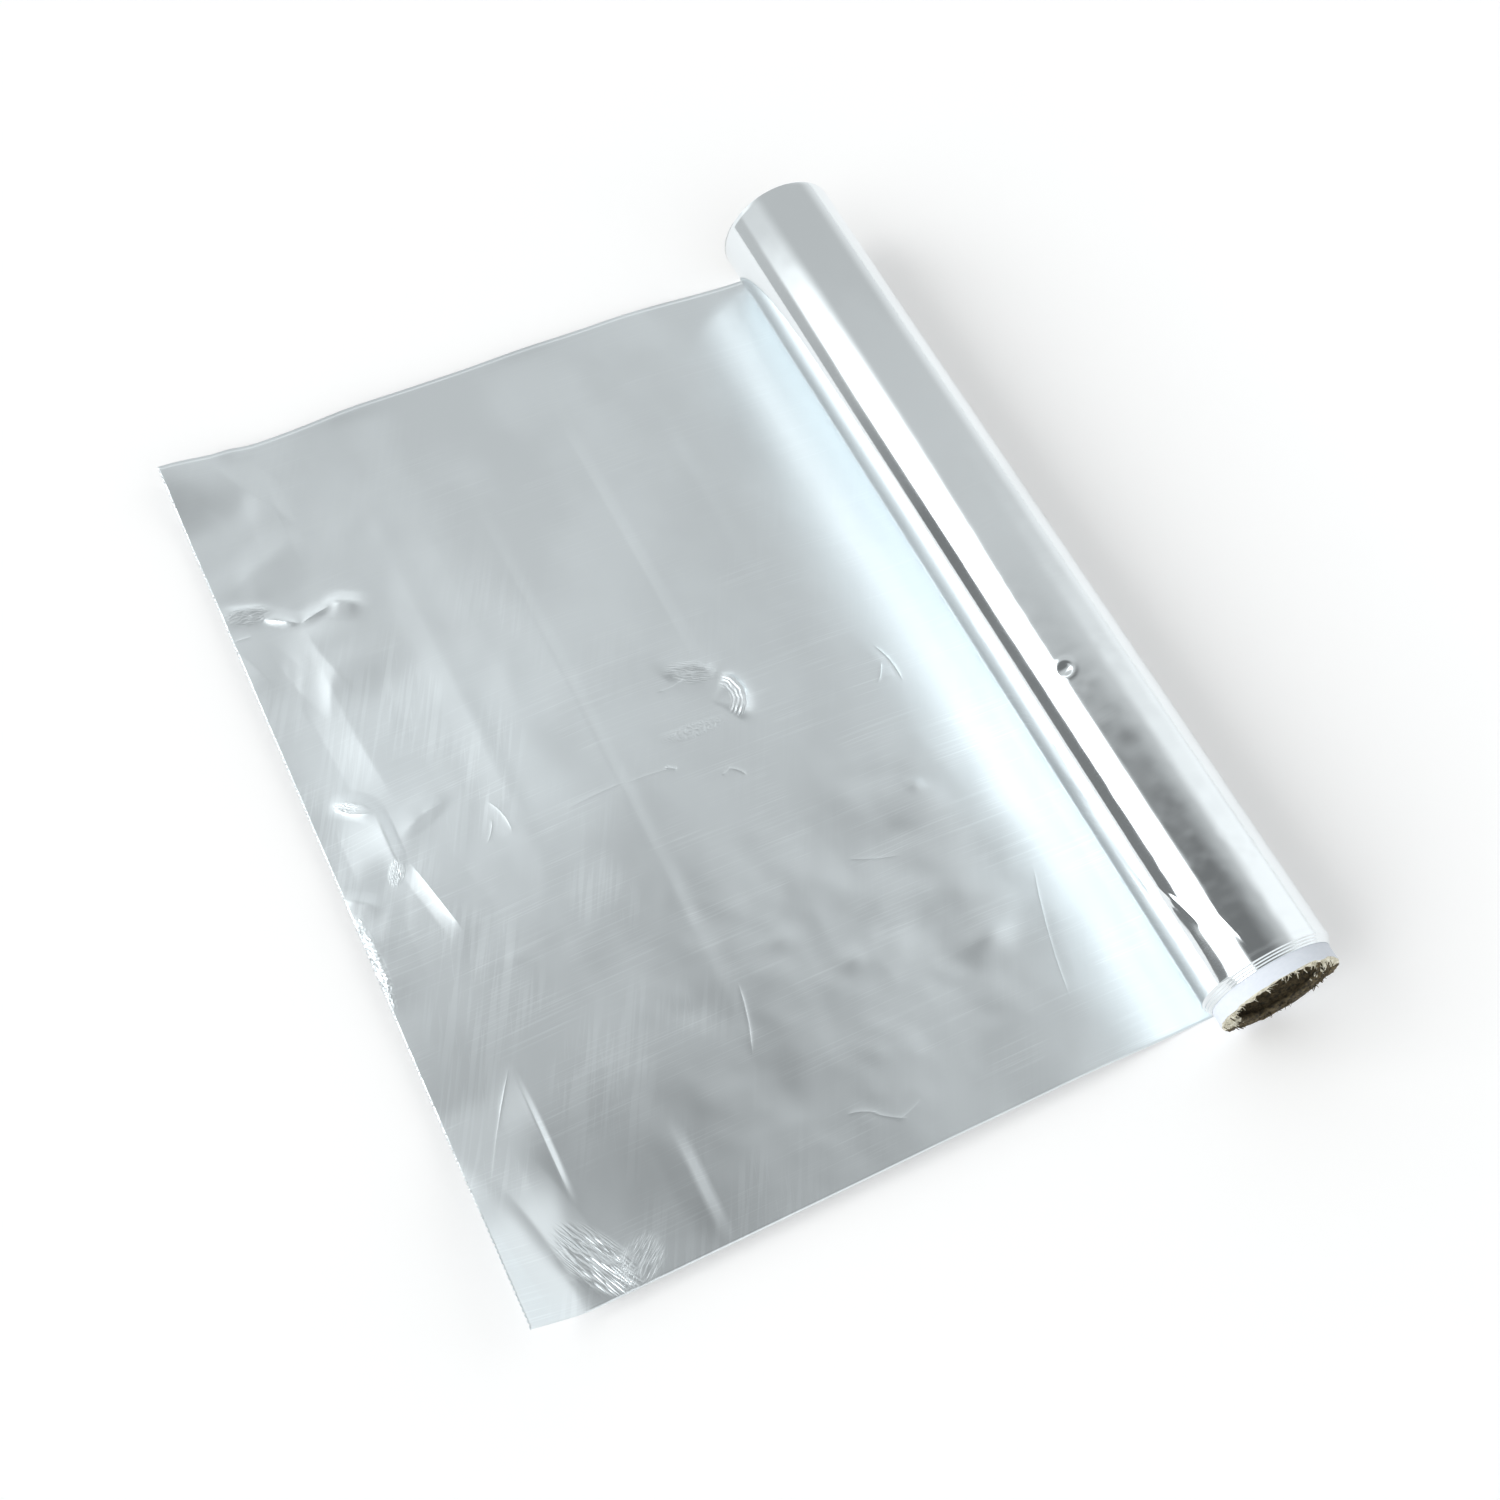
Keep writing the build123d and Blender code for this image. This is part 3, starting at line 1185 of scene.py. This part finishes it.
@dataclass
class PaperTube:
    """The tube that the foil is wound on: brown board with a white outer ply and one torn end, whose lower
    side and bore are darkened by painted shade.
    """

    sizes: Sizes
    around: int = 240
    ply: float = 0.25
    strands: int = 230
    burrs: tuple = ((29.0, 16.4, 3.4, 1.2), (32.0, 16.9, 2.6, 0.8), (-91.0, 17.9, 1.9, 0.35))
    seed: int = 5

    def build(self, white: bpy.types.Material, brown: bpy.types.Material,
              torn: bpy.types.Material) -> bpy.types.Object:
        """Makes the tube.

        Args:
            white: the outer ply.
            brown: the bore's wall, darkened as painted shade, and the painted shade on the torn end's lower
                side.
            torn: the torn end.

        Returns:
            The object.
        """
        s = self.sizes
        ply_radius = s.tube_radius - self.ply
        rows, slots = [], []

        def add(radius: float, y: float, slot: int, radial: float = 0.0, axial: float = 0.0) -> None:
            """Adds one row, with how far its points stray in and along."""
            rows.append((radius, y, radial, axial))
            slots.append(slot)

        outer = s.tube_radius - 0.01
        near, far = s.tube_near, s.tube_far
        # the outside, from the far end to the near one
        for y in (*np.linspace(far - 0.3, near + 8.0, 12), *np.linspace(near + 7.0, near + 1.4, 8)):
            add(outer, y, WHITE_SLOT)
        # over the torn end
        add(outer, near + 0.7, WHITE_SLOT, 0.03, 0.3)
        add(outer - 0.04, near + 0.5, TORN_SLOT, 0.05, 0.34)
        for t in np.linspace(0.0, 1.0, 9):
            radius = ply_radius + (s.bore_radius - 0.6 - ply_radius) * t
            add(radius, near + 0.45 + 0.5 * t, TORN_SLOT, 0.3, 0.55)
        add(s.bore_radius - 1.0, near + 1.6, TORN_SLOT, 0.55, 0.5)
        add(s.bore_radius - 0.6, near + 2.3, BROWN_AND_SHADE_SLOT, 0.5, 0.3)
        # the bore, and over the clean end
        for y in np.linspace(near + 3.0, near + 16.0, 16):
            add(s.bore_radius, y, BROWN_AND_SHADE_SLOT, 0.3)
        for y in np.linspace(near + 30.0, far - 0.3, 12):
            add(s.bore_radius, y, BROWN_AND_SHADE_SLOT, 0.05)
        add(s.bore_radius + 0.2, far, TORN_SLOT)
        add(outer - 0.2, far, WHITE_SLOT)
        table = np.array(rows)
        angle = np.arange(self.around) * TURN / self.around
        turn = angle[None] / TURN
        count = np.arange(len(table))[:, None]
        radial = Lattice(self.seed)(turn * 90, count * 0.7, 60)
        radial = radial + 0.6 * Lattice(self.seed + 1)(turn * 40, count * 0.5, 40)
        axial = Lattice(self.seed + 2)(turn * 60, count * 0.4, 60)
        axial = axial + 0.8 * Lattice(self.seed + 3)(turn * 17, count * 0.1, 17)
        radius = table[:, :1] + table[:, 2:3] * radial
        y = table[:, 1:2] + table[:, 3:4] * axial
        points = np.stack([radius * np.sin(angle), y, radius * np.cos(angle)], axis=-1).reshape(-1, 3)
        faces = grid_faces(len(table), self.around, close_rows=True, close_columns=True)
        kinds = np.repeat(slots, self.around)
        # painted shade: on the lower side of each end's torn face, where less light falls, the pale torn
        # fibres are given the dark brown board instead
        low = np.cos(np.tile(angle, len(table)) + 0.5) + 0.4 * axial.ravel() < -0.35
        kinds = np.where((kinds == TORN_SLOT) & low, BROWN_AND_SHADE_SLOT, kinds)
        return make_object("tube_body", points, faces.tolist(), [white, brown, torn], kinds)

    def fibres(self, torn: bpy.types.Material, brown: bpy.types.Material) -> bpy.types.Object:
        """Makes the fibres that stand off the tube's torn end.

        Args:
            torn: the pale fibres.
            brown: the dark fibres, dark board in part and painted shade on the lower side.

        Returns:
            The object.
        """
        s = self.sizes
        rng = np.random.default_rng(self.seed)
        points, faces, slots = [], [], []
        for number in range(self.strands):
            angle = math.radians(rng.uniform(-180.0, 180.0))
            # painted shade: fibres on the lower side all take the dark brown, while on the upper side a
            # quarter of them are dark board at random and the rest are pale
            upper = math.cos(angle + 0.5) > -0.3
            radius = rng.uniform(s.bore_radius - 0.6, s.tube_radius - 0.5)
            length = rng.uniform(0.8, 2.3)
            width = rng.uniform(0.15, 0.5)
            if number < len(self.burrs):
                degrees, radius, length, width = self.burrs[number]
                angle = math.radians(degrees)
            out = np.array([math.sin(angle), 0.0, math.cos(angle)])
            tangent = np.array([math.cos(angle), 0.0, -math.sin(angle)])
            start = out * radius + np.array([0.0, s.tube_near + rng.uniform(0.5, 1.4), 0.0])
            way = rng.uniform(-0.8, 0.1) * out + rng.uniform(-0.8, 0.8) * tangent
            way = way + np.array([0.0, rng.uniform(-0.7, -0.1), 0.0])
            way = way / np.linalg.norm(way)
            bend = rng.uniform(-0.5, 0.5) * tangent - rng.uniform(-0.2, 0.5) * out
            flat = np.cross(way, out)
            flat = flat / np.linalg.norm(flat)
            thick = np.cross(flat, way)
            base = len(points)
            for step in range(5):
                t = step / 4
                middle = start + length * (t * way + 0.5 * t * t * bend)
                half = width * (1 - 0.75 * t) / 2
                for a, b in ((-1, -1), (1, -1), (1, 1), (-1, 1)):
                    points.append(middle + a * half * flat + b * min(half, 0.09) * thick)
            for step in range(4):
                ring = base + 4 * step
                for k, n in ((0, 1), (1, 2), (2, 3), (3, 0)):
                    faces.append((ring + k, ring + n, ring + 4 + n, ring + 4 + k))
            faces += [(base + 3, base + 2, base + 1, base), (base + 16, base + 17, base + 18, base + 19)]
            slots += [0 if upper and rng.uniform() < 0.75 else 1] * 18
        return make_object("tube_fibres", np.array(points), faces, [torn, brown], np.array(slots), flat=True)


# ---------------------------------------------------------------------------------------------- studio

@dataclass(frozen=True)
class Studio:
    """A pale floor, a soft room of light round it, and the camera."""

    floor: float
    target: tuple = (-92.1, -17.4)
    azimuth: float = -29.89
    elevation: float = 60.88
    roll: float = 4.23
    distance: float = 599.6
    lens: float = 47.95
    floor_half: float = 4000.0
    floor_gap: float = 0.02
    floor_lift: float = 0.09
    window_strength: float = 2.9

    def build_floor(self) -> None:
        """A plain pale plane just under everything."""
        made, graph, _ = new_material("studio_floor")
        path = graph.node("ShaderNodeLightPath").outputs
        seen = graph.math("MAXIMUM", path["Is Camera Ray"], path["Is Glossy Ray"])
        seen = graph.math("MAXIMUM", seen, path["Is Transmission Ray"])
        inputs = {
            "Base Color": (0.97, 0.955, 0.95, 1.0),
            "Roughness": 0.8,
            "Specular IOR Level": 0.1,
            "Emission Color": WHITE,
            "Emission Strength": graph.math("MULTIPLY", seen, self.floor_lift),
        }
        graph.surface(inputs)
        half, z = self.floor_half, self.floor - self.floor_gap
        corners = [(-half, -half, z), (half, -half, z), (half, half, z), (-half, half, z)]
        make_object("floor", np.array(corners), [(0, 1, 2, 3)], [made])

    def build_light(self) -> None:
        """Light from all round: an even room with a broad window on the sheet's side and a few broad shades.

        Directions are read as x, y and z from -1 to 1, and as the angle in degrees from the sheet's side
        over the roll.
        """
        world = bpy.data.worlds.new("soft_room")
        bpy.context.scene.world = world
        world.use_nodes = True
        world.node_tree.nodes.clear()
        graph = Graph(world.node_tree)
        x, y, z = graph.split(graph.node("ShaderNodeTexCoord").outputs["Generated"])
        angle = graph.math("DEGREES", graph.math("ARCTAN2", z, graph.math("MULTIPLY", x, -1.0)))
        room = graph.ramp(y, 0.36, 0.62, 0.68, 0.57)

        # a darker ceiling, a brighter wall beyond the roll, and a low bright skirt at its foot
        ceiling = graph.product(
            graph.band(angle, (54.0, 58.0), (84.0, 134.0)),
            graph.band(y, (-0.7, -0.45), (0.24, 0.46)),
        )
        room = graph.math("MULTIPLY", room, graph.ramp(ceiling, 0.0, 1.0, 1.0, 0.28, "LINEAR"))
        side = graph.product(
            graph.band(angle, (118.0, 140.0), (172.0, 186.0)),
            graph.band(y, (-0.6, -0.3), (0.22, 0.5)),
        )
        room = graph.math("MULTIPLY_ADD", side, 0.42, room)
        skirt = graph.product(graph.ramp(z, 0.02, 0.4, 1.0, 0.0), graph.ramp(x, 0.3, 0.6))
        room = graph.math("MULTIPLY_ADD", skirt, graph.ramp(y, 0.22, 0.5, 0.0, 0.26), room)

        # a dark sill under the window, and light behind the camera and beyond the roll's far end
        sill = graph.product(
            graph.ramp(angle, 14.0, 16.5, 1.0, 0.0),
            graph.band(y, (0.02, 0.1), (0.46, 0.6)),
            graph.math("LESS_THAN", x, 0.0),
        )
        room = graph.math("MULTIPLY", room, graph.ramp(sill, 0.0, 1.0, 1.0, 0.33, "LINEAR"))
        behind = graph.ramp(y, -0.75, -0.6, 1.0, 0.0)
        beyond = graph.product(graph.ramp(y, 0.63, 0.70), graph.ramp(z, 0.35, 0.6, 1.0, 0.0))
        room = graph.math("MULTIPLY_ADD", graph.math("MAXIMUM", behind, beyond), 0.45, room)

        # the window, whose long sides grow softer towards the far end, where it fades
        top = graph.ramp(y, 0.36, 0.58, 55.0, 74.0)
        edge = graph.ramp(y, 0.5, 0.62, 16.5, 22.0)
        window = graph.product(
            graph.band(angle, (14.5, edge), (49.0, top)),
            graph.ramp(y, 0.47, 0.61, 1.0, 0.06),
            graph.ramp(y, -0.6, -0.35),
        )
        level = graph.math("MULTIPLY_ADD", window, self.window_strength, room)
        back = graph.node("ShaderNodeBackground", {"Color": (0.97, 0.995, 1.0, 1.0), "Strength": level})
        graph.node("ShaderNodeOutputWorld", {"Surface": back.outputs[0]})

    def build_camera(self) -> None:
        """The camera, looking down on the roll from the open side."""
        data = bpy.data.cameras.new("camera")
        data.lens = self.lens
        data.sensor_width = 36.0
        data.clip_start, data.clip_end = 0.01, 50.0
        camera = bpy.data.objects.new("camera", data)
        bpy.context.scene.collection.objects.link(camera)
        a, e = math.radians(self.azimuth), math.radians(self.elevation)
        back = Vector((math.sin(a) * math.cos(e), -math.cos(a) * math.cos(e), math.sin(e)))
        aim = Vector((*self.target, self.floor)) * MM
        level = (-back).to_track_quat("-Z", "Y").to_matrix()
        turn = level @ Matrix.Rotation(math.radians(self.roll), 3, "Z")
        camera.matrix_world = Matrix.LocRotScale(aim + back * self.distance * MM, turn, None)
        bpy.context.scene.camera = camera


# ------------------------------------------------------------------------------------------------ main

def main() -> None:
    """Builds every piece and reports it."""
    logging.basicConfig(level=logging.INFO, format="%(name)s: %(message)s")
    bpy.context.scene.view_settings.view_transform = "Standard"
    sizes = Sizes.from_frame()
    studio = Studio(floor=sizes.floor)
    studio.build_camera()
    studio.build_floor()
    studio.build_light()

    makers = (
        rolling_lines_group,
        handling_marks_group,
        crease_line_group,
        arc_creases_group,
        crushed_patch_group,
        board_fibre_group,
    )
    groups = {made.name: made for made in (make() for make in makers)}
    bright = BRIGHT_FOIL.material(groups)
    length = PulledLength(sizes)
    details = THIN_CREASES + KNOCKS + CRUSHED
    middle = MATTE_FOIL.material(groups, tuple(d for d in details if d.x >= length.edge_zone))
    edge = MATTE_FOIL.material(groups, tuple(d for d in details if d.x < length.edge_zone))

    roll = WoundTurns(sizes).build(bright)
    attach(roll, BODY)
    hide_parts("foil_strip")

    sheet = length.build(middle, edge, bright)
    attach(sheet, BODY)
    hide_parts("foil_strip")

    paper = PaperTube(sizes)
    white, brown, torn = (finish.material(groups) for finish in (WHITE_PLY, BROWN_BOARD_AND_SHADE, TORN_FIBRE))
    tube = paper.build(white, brown, torn)
    strands = paper.fibres(torn, brown)
    for piece in (tube, strands):
        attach(piece, BODY)
    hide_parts("core_tube")

    for piece in (roll, sheet, tube, strands):
        log.info("%s: %d faces", piece.name, len(piece.data.polygons))


if __name__ == "__main__":
    main()
